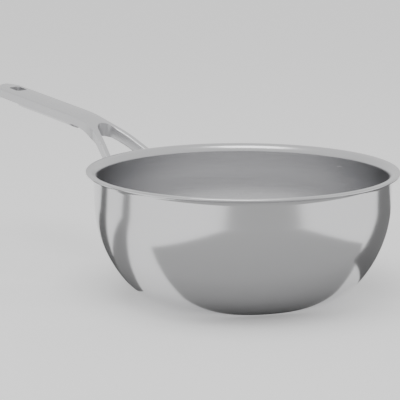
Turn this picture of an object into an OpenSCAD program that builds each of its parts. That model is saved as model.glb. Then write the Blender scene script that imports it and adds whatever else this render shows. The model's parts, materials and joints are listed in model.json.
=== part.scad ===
// Saucier pan: a round-bottomed pan of bonded three-layer sheet with a flared lip and a welded, forked handle.
// The origin is the centre of the base's underside. The handle points along -X, and +Z is up.

/* [Pan body] */
// Inside diameter at the mouth, the size that the pan and its lid are sold by
mouth_d = 240; // [230:1:260]
// Height from the base to the top of the lip
pan_h = 106; // [104:0.5:110]
// Diameter of the flat base
base_d = 123; // [112:1:130]
// Outside radius of the bend between the base and the side
base_bend = 50; // [40:1:50]
// Height at which the curved side becomes a straight wall
wall_start = 81.5; // [76:0.5:84]

/* [Sheet] */
// Thickness of each steel skin
skin_t = 0.4; // [0.3:0.05:0.5]
// Thickness of the aluminium core
core_t = 1.5; // [1.2:0.1:1.8]

/* [Lip] */
// Inside radius of the bend that turns the wall outwards
lip_bend = 6.4; // [5:0.1:7]
// Flat width of the lip between the bend and its rounded edge
lip_land = 1.6; // [1:0.1:2.5]

/* [Handle line] */
// Slope of the two legs above the horizontal, in degrees
leg_rise = 36; // [32:0.5:38]
// Slope of the grip above the horizontal, in degrees
grip_rise = 8.5; // [6:0.5:11]
// Distance from the pan's axis at which the two slopes meet
neck_u = 171; // [168:0.5:174]
// Height at which the two slopes meet
neck_z = 127.8; // [126:0.2:130]
// Radius of the bend between the legs and the grip
neck_bend = 115; // [90:5:120]
// Distance from the pan's axis to the handle's end
tip_u = 308; // [295:1:320]

/* [Grip] */
// Width of the grip
grip_w = 26.4; // [25:0.2:28]
// Height of the grip's flat side
side_h = 8.5; // [8:0.1:9.5]
// Rise of the crowned top above its edges
crown = 1.1; // [0.6:0.1:1.4]
// Rounding of the top's edges
edge_r = 1.4; // [1:0.1:1.8]
// Plan radius of the two corners at the end
end_r = 10; // [8:0.5:11]

/* [Underside cover] */
// Width of the cover
cover_w = 26; // [24:0.2:26]
// Depth of the cover below the sides
cover_d = 5.4; // [4:0.1:6]
// Distance from the pan's axis to the cover's near end
cover_u = 200; // [200:0.5:204]
// Plan radius of the cover's corners
cover_r = 9; // [6:0.5:11]

/* [Fork] */
// Spread of each leg away from the handle's axis, in degrees
leg_spread = 22.8; // [20:0.2:24]
// Width of a leg, measured across the handle
leg_w = 6; // [5.5:0.1:6.5]
// Depth of a leg, measured straight down
leg_h = 11.5; // [10.5:0.1:12]
// Distance from the pan's axis at which the spread begins
fork_u = 173.4; // [171:0.2:175]
// Width of the waist, at that point
waist_w = 23.2; // [22:0.2:24]
// Radius of the round end of the window between the legs
window_r = 9.3; // [7:0.1:10]

/* [Hanging hole] */
// Length of the hole along the handle
hole_l = 14; // [12:0.5:15]
// Width of the hole across the handle
hole_w = 12.4; // [10:0.2:13]
// Corner radius of the hole
hole_r = 3.6; // [2.5:0.1:4.5]
// Distance from the end of the handle to the hole
hole_in = 14; // [12:0.5:18]

/* [Hidden] */
$fn = 180;

// The pan's outline
sheet_t = 2 * skin_t + core_t;
wall_r = mouth_d / 2 + sheet_t;
base_r = base_d / 2;
// Radius of the side's bend, tangent both to the base's bend and to the wall
side_bend = (pow(wall_r - base_r, 2) + pow(wall_start, 2) - 2 * wall_start * base_bend)
    / (2 * (wall_r - base_r - base_bend));
base_c = [base_r, base_bend];
side_c = [wall_r - side_bend, wall_start];
// Direction from either centre to the point where the two bends meet
meet_a = atan2(base_c.y - side_c.y, base_c.x - side_c.x);
lip_c = [mouth_d / 2 + lip_bend, pan_h - lip_bend];
edge_c = [lip_c.x + lip_land, pan_h - sheet_t / 2];
far = 2 * wall_r;

// The handle's walls and joints
wall_side = 2.2;
wall_top = 2.4;
hole_u = tip_u - hole_in - hole_l / 2;
cover_end = hole_u - hole_l / 2 - 3;
hollow_start = cover_u + 4;
hollow_end = cover_end - 6;
hollow_run = 3;
hollow_r = 1.5;
leg_edge_r = 1.2;
leg_foot_r = 2.4;
grip_u = fork_u + 34;
waist_flare = atan((grip_w - waist_w) / 2 / (grip_u - fork_u));
waist_bend = 60;
grip_bend = 300;
// The window's round end touches the inner sides of both legs
window_mid = fork_u - (window_r / cos(leg_spread) - waist_w / 2 + leg_w) / tan(leg_spread);
window_end = window_mid + window_r;
window_touch = window_mid + window_r * sin(leg_spread);
// Where the sides deepen from the grip's flat side to the leg
deep_start = window_mid;
deep_end = 194;
// The cover's sheet, and the rim that it is welded by
cover_t = 1.6;
cover_rim = 2.4;
// Start of the legs, inside the wall that trims them
foot_u = 112;
weld_w = 1.8;
// Segments in each rounded corner
corner_n = 4;

// The handle is drawn along u, the distance from the pan's axis; v is sideways from the handle's middle

// Height on two straight lines that cross at p, sloping a0 before it and a1 after it, blended at radius r
function bent(u, p, a0, a1, r) =
    let (
        k = a1 < a0 ? 1 : -1,
        t = r * tan(abs(a1 - a0) / 2),
        c = p + [-t * cos(a0) + k * r * sin(a0), -t * sin(a0) - k * r * cos(a0)]
    )
    u < p.x - t * cos(a0) ? p.y + tan(a0) * (u - p.x)
    : u > p.x + t * cos(a1) ? p.y + tan(a1) * (u - p.x)
    : c.y + k * sqrt(r * r - pow(u - c.x, 2));

// Share of the way from a to b, straight or eased at both ends
function share(u, a, b) = min(1, max(0, (u - a) / (b - a)));
function ease(u, a, b) = let (t = share(u, a, b)) t * t * (3 - 2 * t);

// Points on an arc about c, from angle a0 to a1
function arc(c, r, a0, a1, n = corner_n) =
    [for (i = [0:n]) let (a = a0 + (a1 - a0) * i / n) c + r * [cos(a), sin(a)]];

// Height of the top's edges, rounded down at the end
function edge_z(u) = bent(u, [neck_u, neck_z], leg_rise, grip_rise, neck_bend);
function end_drop(u) = edge_r - sqrt(edge_r * edge_r - pow(max(0, u - tip_u + edge_r), 2));

// Depth of the sides, from the top's edges down
function side_at(u) = side_h + (leg_h - side_h) * (1 - ease(u, deep_start, deep_end));

// Half of the handle's width: legs, waist, grip and rounded end
function half_w(u) =
    u > tip_u - end_r ? grip_w / 2 - end_r + sqrt(max(0, end_r * end_r - pow(u - tip_u + end_r, 2)))
    : u > (fork_u + grip_u) / 2 ? bent(u, [grip_u, grip_w / 2], waist_flare, 0, grip_bend)
    : bent(u, [fork_u, waist_w / 2], -leg_spread, waist_flare, waist_bend);

// Half of the window's width: two straight sides that touch a round end
function window_half(u) =
    u > window_end - 0.001 ? 0
    : u > window_touch ? sqrt(window_r * window_r - pow(u - window_mid, 2))
    : window_r * cos(leg_spread) + (window_touch - u) * tan(leg_spread);

// One leg's outline at u: a bar with rounded edges, from its inner side over the top and back underneath
function leg_loop(u) =
    let (c = window_half(u), b = half_w(u), z = edge_z(u), low = z - side_at(u))
    concat(
        arc([c + leg_edge_r, z - leg_edge_r], leg_edge_r, 180, 90),
        arc([b - leg_edge_r, z - leg_edge_r], leg_edge_r, 90, 0),
        arc([b - leg_foot_r, low + leg_foot_r], leg_foot_r, 0, -90),
        arc([c + leg_foot_r, low + leg_foot_r], leg_foot_r, -90, -180)
    );

// Half of the grip's outline at u, with as many points: crowned top, edge, side, then a flat underside
// or, where hollow is 1, the inside of a channel
function grip_loop(u, hollow) =
    let (
        c = window_half(u),
        b = half_w(u),
        z = edge_z(u) - end_drop(u),
        low = edge_z(u) - side_at(u),
        in = b - edge_r,
        rim = b - wall_side,
        roof = z - wall_top,
        n = corner_n,
        side = [[rim, (low + roof) / 2]],
        channel = concat(side, arc([rim - hollow_r, roof - hollow_r], hollow_r, 0, 90, 2),
            [for (i = [1:n]) [(rim - hollow_r) * (1 - i / n), roof + crown * (1 - pow(1 - i / n, 2))]]),
        flat = [for (i = [1:2 * n]) [rim + (c - rim) * i / (2 * n), low]]
    )
    concat(
        [for (i = [0:n]) let (v = c + (in - c) * i / (n + 1)) [v, z + crown * (1 - pow(v / in, 2))]],
        arc([in, z - edge_r], edge_r, 90, 0),
        [[b, low], [rim, low]],
        (1 - hollow) * flat + hollow * channel
    );

// Share of the channel at u, and share of the leg's shape
function hollow_at(u) =
    share(u, hollow_start, hollow_start + hollow_run) * (1 - share(u, hollow_end - hollow_run, hollow_end));
function leg_at(u) = 1 - ease(u, window_mid - 4, window_end);

function casting_loop(u) = let (m = leg_at(u)) m * leg_loop(u) + (1 - m) * grip_loop(u, hollow_at(u));

// Stations along the handle
neck_start = neck_u - neck_bend * tan((leg_rise - grip_rise) / 2) * cos(leg_rise);
fork_stations = concat(
    [foot_u, neck_start],
    [for (i = [1:3]) neck_start + (window_touch - neck_start) * i / 4],
    [for (a = [leg_spread:(90 - leg_spread) / 8:90.001]) window_mid + window_r * sin(min(90, a))]
);
grip_stations = concat(
    [for (i = [1:6]) window_end + (hollow_start - window_end) * i / 6],
    [hollow_start + hollow_run],
    [for (i = [1:8]) hollow_start + hollow_run + (hollow_end - hollow_start - 2 * hollow_run) * i / 8],
    [hollow_end, hollow_end + 3, cover_end, cover_end + 10],
    [for (a = [0:15:90]) tip_u - end_r + end_r * sin(a)]
);
casting_stations = concat(fork_stations, grip_stations);

// Two triangles for the four-sided face a, b, c, d
function two(a, b, c, d) = [[a, b, c], [a, c, d]];

// Skin of the casting: two loops side by side, joined along the middle where there is no window
module casting_skin() {
    us = casting_stations;
    loops = [for (u = us) casting_loop(u)];
    n = len(us);
    k = len(loops[0]);
    points = [for (i = [0:n - 1]) for (s = [1, -1]) for (p = loops[i]) [-us[i], s * p.x, p.y]];
    open = [for (u = us) window_half(u) > 0];
    // Number of a point; the two middle points are shared where there is no window
    function id(i, s, j) = (2 * i + (!open[i] && (j == 0 || j == k - 1) ? 0 : s)) * k + j;
    function strip(i, s, j, l) =
        s == 1 ? two(id(i, s, j), id(i, s, l), id(i + 1, s, l), id(i + 1, s, j))
        : two(id(i, s, j), id(i + 1, s, j), id(i + 1, s, l), id(i, s, l));
    walls = [
        for (i = [0:n - 2]) for (s = [0, 1]) for (j = [0:open[i] ? k - 1 : k - 2])
            for (t = strip(i, s, j, (j + 1) % k)) if (t[0] != t[1] && t[1] != t[2] && t[2] != t[0]) t
    ];
    feet = [[for (j = [0:k - 1]) id(0, 0, j)], [for (j = [k - 1:-1:0]) id(0, 1, j)]];
    end = concat([for (j = [1:k - 2]) id(n - 1, 1, j)], [for (j = [k - 1:-1:0]) id(n - 1, 0, j)]);
    polyhedron(points, concat(walls, feet, [end]));
}

// A flat sheet with rounded corners
module rounded(l, w, r) {
    square([l - 2 * r, w], center = true);
    square([l, w - 2 * r], center = true);
    for (x = [-1, 1], y = [-1, 1]) translate([x * (l / 2 - r), y * (w / 2 - r)]) circle(r);
}

// A block l long and w wide with a bowed underside d deep, hanging below z = 0
module bowed(l, w, d, r) {
    bow_r = (w * w / 4 + d * d) / (2 * d);
    intersection() {
        rotate([90, 0, 90]) linear_extrude(l, center = true) intersection() {
            translate([0, bow_r - d]) circle(bow_r);
            translate([-w / 2, -d]) square([w, d]);
        }
        translate([0, 0, -d]) linear_extrude(d) rounded(l, w, r);
    }
}

module hanging_hole() {
    translate([-hole_u, 0, edge_z(hole_u) - 2 * leg_h])
        linear_extrude(4 * leg_h) rounded(hole_l, hole_w, hole_r);
}

// Space inside the outer skin's outer face, moved inwards by d, up to the lip's bend
module bowl(d) {
    polygon([[0, d], [base_c.x, d], base_c, side_c, [wall_r - d, side_c.y], [wall_r - d, lip_c.y], [0, lip_c.y]]);
    intersection() {
        translate(base_c) circle(base_bend - d);
        polygon([base_c, base_c - [0, far], base_c + far * [cos(meet_a), sin(meet_a) - 1],
            base_c + far * [cos(meet_a), sin(meet_a)]]);
    }
    intersection() {
        translate(side_c) circle(side_bend - d);
        polygon([side_c, side_c + far * [cos(meet_a), sin(meet_a)], side_c + far * [1, sin(meet_a)],
            side_c + [far, 0]]);
    }
}

// One layer of the sheet, between d0 and d1 inside the pan's outer face, from the base to the end of the lip's flat
module layer(d0, d1) {
    difference() {
        bowl(d0);
        bowl(d1);
    }
    intersection() {
        difference() {
            translate(lip_c) circle(lip_bend - sheet_t + d1);
            translate(lip_c) circle(lip_bend - sheet_t + d0);
        }
        translate(lip_c - [lip_bend, 0]) square(lip_bend);
    }
    translate([lip_c.x, pan_h - sheet_t + d0]) square([lip_land, d1 - d0]);
}

// Half of the lip's rounded edge, where a skin closes over the end of the core; up is 1 for the upper half
module lip_edge(up) {
    intersection() {
        translate(edge_c) circle(sheet_t / 2);
        translate(edge_c - [0, up == 1 ? 0 : sheet_t]) square(sheet_t);
    }
}

module outer_skin() {
    color("silver") rotate_extrude() {
        layer(0, skin_t);
        lip_edge(0);
    }
}

module aluminium_core() {
    color("gainsboro") rotate_extrude() layer(skin_t, skin_t + core_t);
}

module inner_skin() {
    color("lightgray") rotate_extrude() {
        layer(skin_t + core_t, sheet_t);
        lip_edge(1);
    }
}

// The casting: forked legs trimmed to the pan's wall, and a hollow grip open underneath
module handle_casting() {
    color("darkgray") difference() {
        casting_skin();
        cylinder(r = wall_r, h = pan_h);
        hanging_hole();
    }
}

// The welded cover that closes the grip's hollow
module handle_cover() {
    mid = (cover_u + cover_end) / 2;
    l = (cover_end - cover_u) / cos(grip_rise);
    color("gray") translate([-mid, 0, edge_z(mid) - side_h]) rotate([0, grip_rise, 0]) difference() {
        bowed(l, cover_w, cover_d, cover_r);
        bowed(l - 2 * cover_rim, cover_w - 2 * cover_rim, cover_d - cover_t, cover_r - cover_rim);
    }
}

// Point where the line through q, running along the leg, meets the pan's wall; q is [v, z] at u = 0
function on_wall(q) =
    let (k = -tan(leg_spread), a = 1 + k * k, b = q.x * k, u = (-b + sqrt(b * b - a * (q.x * q.x - wall_r * wall_r))) / a)
    [u, q.x + k * u, q.y + tan(leg_rise) * u];

// Outward direction of a closed outline at its point j
function outward(loop, j) =
    let (n = len(loop), d = loop[(j + 1) % n] - loop[(j + n - 1) % n])
    [-d.y, d.x] / norm(d);

// The fillet of weld metal around one leg's foot, between the leg and the wall; s is 1 or -1
module weld(s) {
    leg = leg_loop(foot_u);
    n = len(leg);
    feet = [for (p = leg) on_wall([p.x + tan(leg_spread) * foot_u, p.y - tan(leg_rise) * foot_u])];
    grow = [for (j = [0:n - 1]) outward([for (p = leg) p], j)];
    toes = [for (j = [0:n - 1]) let (v = feet[j].y + weld_w * grow[j].x)
        [sqrt(wall_r * wall_r - v * v), v, feet[j].z + weld_w * grow[j].y]];
    tops = [for (p = feet) p + weld_w * [1, -tan(leg_spread), tan(leg_rise)]];
    mids = [for (j = [0:n - 1]) 0.36 * (toes[j] + tops[j]) + 0.28 * feet[j]];
    rings = concat(feet, toes, mids, tops);
    points = [for (p = rings) [-p.x, s * p.y, p.z]];
    faces = [for (i = [0:3]) for (j = [0:n - 1])
        let (a = i * n + j, b = i * n + (j + 1) % n, c = (i + 1) % 4 * n + (j + 1) % n, d = (i + 1) % 4 * n + j)
            for (t = s == 1 ? two(a, b, c, d) : two(a, d, c, b)) t];
    polyhedron(points, faces);
}

module weld_left() {
    color("dimgray") weld(-1);
}

module weld_right() {
    color("dimgray") weld(1);
}

outer_skin();
aluminium_core();
inner_skin();
handle_casting();
handle_cover();
weld_left();
weld_right();
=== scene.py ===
"""Saucier pan: steel finishes, smooth spun skins, studio floor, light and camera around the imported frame."""
import json
import logging
import math
from dataclasses import dataclass, field
from enum import Enum

import bpy
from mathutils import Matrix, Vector

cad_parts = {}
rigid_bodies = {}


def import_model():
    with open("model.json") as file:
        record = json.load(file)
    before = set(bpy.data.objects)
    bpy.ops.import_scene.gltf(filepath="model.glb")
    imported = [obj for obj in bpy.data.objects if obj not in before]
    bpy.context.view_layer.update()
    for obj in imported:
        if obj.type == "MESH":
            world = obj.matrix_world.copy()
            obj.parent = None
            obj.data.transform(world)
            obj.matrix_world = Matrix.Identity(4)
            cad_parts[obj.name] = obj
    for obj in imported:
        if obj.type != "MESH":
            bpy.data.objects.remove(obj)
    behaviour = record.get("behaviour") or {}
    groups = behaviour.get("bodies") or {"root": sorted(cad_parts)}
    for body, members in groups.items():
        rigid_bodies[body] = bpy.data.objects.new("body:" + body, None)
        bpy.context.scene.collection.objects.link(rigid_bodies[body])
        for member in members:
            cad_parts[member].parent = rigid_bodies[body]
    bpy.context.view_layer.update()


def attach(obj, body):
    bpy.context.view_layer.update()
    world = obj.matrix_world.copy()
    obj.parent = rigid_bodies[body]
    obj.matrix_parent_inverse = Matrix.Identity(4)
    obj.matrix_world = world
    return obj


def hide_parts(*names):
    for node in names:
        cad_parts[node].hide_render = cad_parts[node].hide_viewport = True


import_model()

log = logging.getLogger("saucier")

WHITE = (1.0, 1.0, 1.0, 1.0)
ROUGHNESS_SPREAD = (0.8, 1.25)
BUMP_DISTANCE = 0.0002


class Texture(Enum):
    """How a steel surface was finished. The value is the scale of its marks along X, Y and Z."""

    POLISHED = (60.0, 60.0, 60.0)
    BRUSHED = (40.0, 40.0, 900.0)
    SATIN = (500.0, 500.0, 500.0)


@dataclass(frozen=True)
class Steel:
    """A metal finish: its colour, roughness, and the marks that its finishing left."""

    name: str
    colour: tuple[float, float, float]
    roughness: float
    texture: Texture
    bump: float = 0.0

    def material(self) -> bpy.types.Material:
        """Make the finish's node material.

        Returns:
            The material, patterned on Object coordinates.
        """
        mat = bpy.data.materials.new(self.name)
        mat.use_nodes = True
        tree = mat.node_tree
        shader = tree.nodes["Principled BSDF"]
        shader.inputs["Base Color"].default_value = (*self.colour, 1.0)
        shader.inputs["Metallic"].default_value = 1.0
        place = tree.nodes.new("ShaderNodeTexCoord")
        spread = tree.nodes.new("ShaderNodeMapping")
        spread.inputs["Scale"].default_value = self.texture.value
        grain = tree.nodes.new("ShaderNodeTexNoise")
        grain.inputs["Scale"].default_value = 1.0
        grain.inputs["Detail"].default_value = 4.0
        tree.links.new(place.outputs["Object"], spread.inputs["Vector"])
        tree.links.new(spread.outputs["Vector"], grain.inputs["Vector"])
        rough = tree.nodes.new("ShaderNodeMapRange")
        rough.inputs["To Min"].default_value = self.roughness * ROUGHNESS_SPREAD[0]
        rough.inputs["To Max"].default_value = self.roughness * ROUGHNESS_SPREAD[1]
        tree.links.new(grain.outputs["Fac"], rough.inputs["Value"])
        tree.links.new(rough.outputs["Result"], shader.inputs["Roughness"])
        if self.bump:
            bump = tree.nodes.new("ShaderNodeBump")
            bump.inputs["Strength"].default_value = self.bump
            bump.inputs["Distance"].default_value = BUMP_DISTANCE
            tree.links.new(grain.outputs["Fac"], bump.inputs["Height"])
            tree.links.new(bump.outputs["Normal"], shader.inputs["Normal"])
        return mat


MIRROR = Steel("mirror_steel", (0.72, 0.72, 0.73), 0.15, Texture.POLISHED)
LINED = Steel("brushed_inside", (0.60, 0.60, 0.61), 0.24, Texture.BRUSHED, 0.08)
CAST = Steel("satin_casting", (0.66, 0.66, 0.67), 0.28, Texture.POLISHED)
WELD = Steel("weld_metal", (0.48, 0.48, 0.49), 0.35, Texture.SATIN, 0.3)
CORE = Steel("aluminium", (0.80, 0.80, 0.81), 0.4, Texture.SATIN, 0.05)


@dataclass
class PanBody:
    """The two steel skins that show, spun from the sheet's outline. Sizes are in metres."""

    mouth_r: float = 0.120
    height: float = 0.106
    base_r: float = 0.0615
    base_bend: float = 0.050
    wall_start: float = 0.0815
    skin: float = 0.0004
    core: float = 0.0015
    lip_bend: float = 0.0064
    lip_land: float = 0.0016
    floor_steps: int = 8
    base_steps: int = 20
    side_steps: int = 30
    lip_steps: int = 14
    edge_steps: int = 8
    turns: int = 192
    merge_distance: float = 0.00002
    smooth_angle: float = 35.0

    @property
    def sheet(self) -> float:
        """Thickness of the sheet: two skins and the core."""
        return 2 * self.skin + self.core

    def face(self, depth: float) -> list[tuple[float, float]]:
        """Outline of the sheet at a depth below its outer face.

        Args:
            depth: Distance inwards from the pan's outer face.

        Returns:
            Points as radius and height, from the middle of the floor to the end of the lip's flat.
        """
        wall = self.mouth_r + self.sheet
        run = wall - self.base_r
        side = (run ** 2 + self.wall_start ** 2 - 2 * self.wall_start * self.base_bend) / (2 * (run - self.base_bend))
        low = Vector((self.base_r, self.base_bend))
        high = Vector((wall - side, self.wall_start))
        meet = math.atan2(low.y - high.y, low.x - high.x)
        points = [(self.base_r * i / self.floor_steps, depth) for i in range(self.floor_steps)]
        points += self.arc(low, self.base_bend - depth, -math.pi / 2, meet, self.base_steps)
        points += self.arc(high, side - depth, meet, 0.0, self.side_steps)[1:]
        lip = Vector((self.mouth_r + self.lip_bend, self.height - self.lip_bend))
        points += self.arc(lip, self.lip_bend - self.sheet + depth, math.pi, math.pi / 2, self.lip_steps)
        points.append((lip.x + self.lip_land, self.height - self.sheet + depth))
        return points

    @staticmethod
    def arc(c: Vector, r: float, start: float, end: float, n: int) -> list[tuple[float, float]]:
        """Points of an arc about c, from angle start to end, in n steps."""
        steps = [start + (end - start) * i / n for i in range(n + 1)]
        return [(c.x + r * math.cos(a), c.y + r * math.sin(a)) for a in steps]

    def edge(self, upper: bool) -> list[tuple[float, float]]:
        """Half of the lip's rounded edge, from the sheet's face to its middle."""
        r = self.sheet / 2
        c = Vector((self.mouth_r + self.lip_bend + self.lip_land, self.height - r))
        return self.arc(c, r, math.pi / 2 if upper else -math.pi / 2, 0.0, self.edge_steps)[1:]

    def spin(self, name: str, outline: list[tuple[float, float]]) -> bpy.types.Object:
        """Spin a closed outline about the pan's axis.

        Args:
            name: The piece's name.
            outline: Points as radius and height, the first and the last on the axis.

        Returns:
            The spun piece, its doubles merged and its faces pointing outwards.
        """
        bpy.ops.object.select_all(action="DESELECT")
        mesh = bpy.data.meshes.new(name)
        mesh.from_pydata([(r, 0.0, z) for r, z in outline], [(i, i + 1) for i in range(len(outline) - 1)], [])
        piece = bpy.data.objects.new(name, mesh)
        bpy.context.scene.collection.objects.link(piece)
        bpy.context.view_layer.objects.active = piece
        piece.select_set(True)
        bpy.ops.object.mode_set(mode="EDIT")
        bpy.ops.mesh.select_all(action="SELECT")
        bpy.ops.mesh.spin(steps=self.turns, angle=2 * math.pi, center=(0, 0, 0), axis=(0, 0, 1))
        bpy.ops.mesh.select_all(action="SELECT")
        bpy.ops.mesh.remove_doubles(threshold=self.merge_distance)
        bpy.ops.mesh.normals_make_consistent(inside=False)
        bpy.ops.object.mode_set(mode="OBJECT")
        bpy.ops.object.shade_smooth_by_angle(angle=math.radians(self.smooth_angle))
        return piece

    def build(self) -> list[bpy.types.Object]:
        """Make the outer and inner skins in place of their CAD nodes.

        Returns:
            The two pieces.
        """
        made = []
        for name, node, slot, finish, first, last, upper in (
            ("outer_skin_spun", "outer_skin", "polished_steel", MIRROR, 0.0, self.skin, False),
            ("inner_skin_spun", "inner_skin", "inner_steel", LINED, self.sheet, self.skin + self.core, True),
        ):
            outline = self.face(first) + self.edge(upper) + self.face(last)[::-1]
            piece = self.spin(name, outline)
            piece.data.materials.append(finish.material())
            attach(piece, "root")
            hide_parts(node)
            made.append(piece)
        return made


@dataclass
class Fittings:
    """The CAD nodes that keep their own mesh, and the finish of each."""

    finishes: dict[str, Steel] = field(default_factory=lambda: {
        "handle_casting": CAST,
        "handle_cover": CAST,
        "weld_left": WELD,
        "weld_right": WELD,
        "aluminium_core": CORE,
    })

    def build(self) -> list[str]:
        """Give each node its finish.

        Returns:
            The names of the dressed nodes.
        """
        for node, finish in self.finishes.items():
            mat = finish.material()
            for obj in [o for o in bpy.data.objects if o.name == node and o.type == "MESH"]:
                if not obj.material_slots:
                    obj.data.materials.append(mat)
                for slot in obj.material_slots:
                    slot.material = mat
        return list(self.finishes)


@dataclass(frozen=True)
class Strip:
    """A darker strip of floor that runs out from the pan, which only reflections show.

    Its bearing is in degrees from the camera's side, and its reach is from the pan's axis to its middle.
    """

    name: str
    bearing: float
    reach: float
    length: float
    width: float
    grey: float


@dataclass
class Studio:
    """Pale floor, even surround, a soft lamp and the photograph's camera. Sizes are in metres."""

    camera_at: tuple[float, float, float] = (0.8592, -0.9403, 0.3393)
    looks_along: tuple[float, float, float] = (-0.6806, 0.7048, -0.1999)
    lens: float = 141.4
    sensor: float = 36.0
    camera_range: float = 100.0
    floor_size: float = 30.0
    floor_drop: float = 0.0005
    floor_grey: float = 0.95
    floor_glow: float = 0.3
    card_roughness: float = 0.9
    surround_light: float = 0.75
    lamp_at: tuple[float, float, float] = (0.2, -0.4, 1.6)
    lamp_aim: tuple[float, float, float] = (0.0, 0.0, 0.08)
    lamp_size: float = 1.0
    lamp_watts: float = 10.0
    strip_height: float = 0.0002
    strips: tuple[Strip, ...] = (
        Strip("card_left", -120.0, 0.54, 0.90, 0.10, 0.12),
        Strip("card_near_left", -88.0, 0.54, 0.90, 0.07, 0.30),
        Strip("card_front", 14.0, 0.57, 1.00, 0.40, 0.50),
        Strip("card_right", 128.0, 0.54, 0.90, 0.26, 0.18),
    )

    def camera(self) -> None:
        """Add the camera and make it the scene's."""
        data = bpy.data.cameras.new("camera")
        data.lens = self.lens
        data.sensor_width = self.sensor
        data.clip_end = self.camera_range
        cam = bpy.data.objects.new("camera", data)
        cam.location = self.camera_at
        cam.rotation_euler = Vector(self.looks_along).to_track_quat("-Z", "Y").to_euler()
        bpy.context.scene.collection.objects.link(cam)
        bpy.context.scene.camera = cam

    @staticmethod
    def seen(tree: bpy.types.NodeTree) -> bpy.types.NodeSocket:
        """Add nodes that tell what is looked at from what only gives light.

        Args:
            tree: The node tree that gets them.

        Returns:
            A socket that is 1 for the camera's rays and for reflections, and 0 for the rest.
        """
        path = tree.nodes.new("ShaderNodeLightPath")
        either = tree.nodes.new("ShaderNodeMath")
        either.operation = "MAXIMUM"
        tree.links.new(path.outputs["Is Camera Ray"], either.inputs[0])
        tree.links.new(path.outputs["Is Glossy Ray"], either.inputs[1])
        return either.outputs["Value"]

    def world(self) -> None:
        """A surround of strength 1 for the camera and reflections, and a weaker one for light."""
        world = bpy.data.worlds.new("surround")
        bpy.context.scene.world = world
        world.use_nodes = True
        tree = world.node_tree
        back = tree.nodes["Background"]
        level = tree.nodes.new("ShaderNodeMapRange")
        level.inputs["To Min"].default_value = self.surround_light
        level.inputs["To Max"].default_value = 1.0
        tree.links.new(self.seen(tree), level.inputs["Value"])
        back.inputs["Color"].default_value = WHITE
        tree.links.new(level.outputs["Result"], back.inputs["Strength"])

    def card(self, name: str, size: tuple[float, float], at: tuple[float, float, float],
             turn: float, grey: float) -> bpy.types.Object:
        """Lay a plain card flat, facing up.

        Args:
            name: The card's name.
            size: Length and width.
            at: Its middle.
            turn: Its angle about Z.
            grey: Its colour, 0 to 1.

        Returns:
            The card.
        """
        bpy.ops.mesh.primitive_plane_add(size=1.0, location=at, rotation=(0.0, 0.0, turn))
        card = bpy.context.object
        card.name = name
        card.scale = (*size, 1.0)
        mat = bpy.data.materials.new(name)
        mat.use_nodes = True
        shader = mat.node_tree.nodes["Principled BSDF"]
        shader.inputs["Base Color"].default_value = (grey, grey, grey, 1.0)
        shader.inputs["Roughness"].default_value = self.card_roughness
        card.data.materials.append(mat)
        return card

    def floor(self) -> None:
        """Lay the floor, with a glow that the camera and reflections see and that gives no light."""
        size = (self.floor_size, self.floor_size)
        floor = self.card("floor", size, (0.0, 0.0, -self.floor_drop), 0.0, self.floor_grey)
        tree = floor.data.materials[0].node_tree
        shader = tree.nodes["Principled BSDF"]
        glow = tree.nodes.new("ShaderNodeMath")
        glow.operation = "MULTIPLY"
        glow.inputs[1].default_value = self.floor_glow
        tree.links.new(self.seen(tree), glow.inputs[0])
        shader.inputs["Emission Color"].default_value = WHITE
        tree.links.new(glow.outputs["Value"], shader.inputs["Emission Strength"])

    def lay(self, strip: Strip) -> None:
        """Lay a strip for the polished wall to show, hidden from the camera and from the light."""
        angle = math.atan2(self.camera_at[1], self.camera_at[0]) + math.radians(strip.bearing)
        at = (strip.reach * math.cos(angle), strip.reach * math.sin(angle), self.strip_height)
        card = self.card(strip.name, (strip.length, strip.width), at, angle, strip.grey)
        card.visible_camera = False
        card.visible_shadow = False
        card.visible_diffuse = False

    def lamp(self) -> None:
        """Add a square soft lamp that faces the pan."""
        data = bpy.data.lights.new("softbox", "AREA")
        data.size = self.lamp_size
        data.energy = self.lamp_watts
        lamp = bpy.data.objects.new("softbox", data)
        lamp.location = self.lamp_at
        lamp.rotation_euler = (Vector(self.lamp_aim) - Vector(self.lamp_at)).to_track_quat("-Z", "Y").to_euler()
        bpy.context.scene.collection.objects.link(lamp)

    def build(self) -> None:
        """Set up floor, strips, lamp, surround and camera."""
        self.floor()
        for strip in self.strips:
            self.lay(strip)
        self.lamp()
        self.world()
        self.camera()


def main() -> None:
    """Build the studio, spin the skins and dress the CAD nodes."""
    logging.basicConfig(level=logging.INFO)
    Studio().build()
    log.info("studio ready")
    for piece in PanBody().build():
        log.info("made %s", piece.name)
    for node in Fittings().build():
        log.info("dressed %s", node)


if __name__ == "__main__":
    main()
